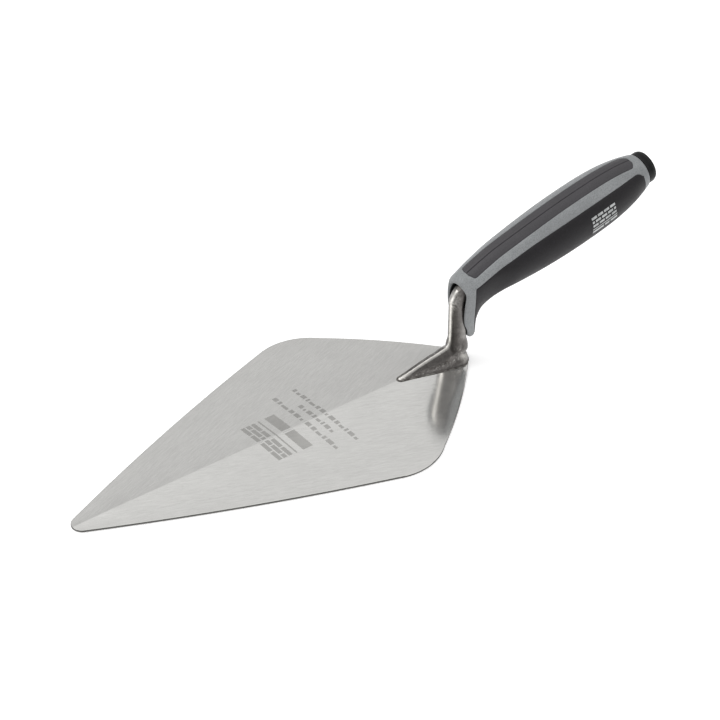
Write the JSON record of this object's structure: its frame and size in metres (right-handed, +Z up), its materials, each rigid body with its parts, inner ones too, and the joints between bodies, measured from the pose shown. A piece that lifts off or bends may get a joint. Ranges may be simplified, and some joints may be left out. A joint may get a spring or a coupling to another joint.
{
  "type": "brick trowel",
  "caption": "Hand trowel with a flat pointed kite-shaped steel blade for spreading mortar, a cranked steel neck and a soft-grip handle with a striking cap.",
  "frame": {"origin": "on the blade's flat underside, on the centreline, at half the blade's length from tip to heel", "axes": "+X from the pointed tip towards the handle, +Z up off the blade's working face side that carries the handle, +Y to the left when looking along +X; the tool is symmetric about the X-Z plane"},
  "size_m": [0.4151, 0.136, 0.0998],
  "materials": {
    "blade_steel": "satin ground steel with fine scratches",
    "forged_steel": "dark forged steel under clear lacquer",
    "weld_bead": "dark weld metal",
    "core_plastic": "plain moulded polypropylene",
    "shell_plastic": "fine matte texture, blue-grey",
    "top_grip_rubber": "soft matte rubber, near black",
    "lower_grip_rubber": "soft matte rubber, near black",
    "washer_steel": "zinc plated",
    "nut_steel": "zinc plated",
    "cap_plastic": "tough black nylon, slightly glossy"
  },
  "bodies": {
    "root": {"blade": "blade_steel", "shank": "forged_steel", "foot_weld": "weld_bead", "handle_core": "core_plastic", "handle_shell": "shell_plastic", "top_grip": "top_grip_rubber", "lower_grip": "lower_grip_rubber", "tang_washer": "washer_steel", "tang_nut": "nut_steel", "end_cap": "cap_plastic"}
  },
  "joints": []
}
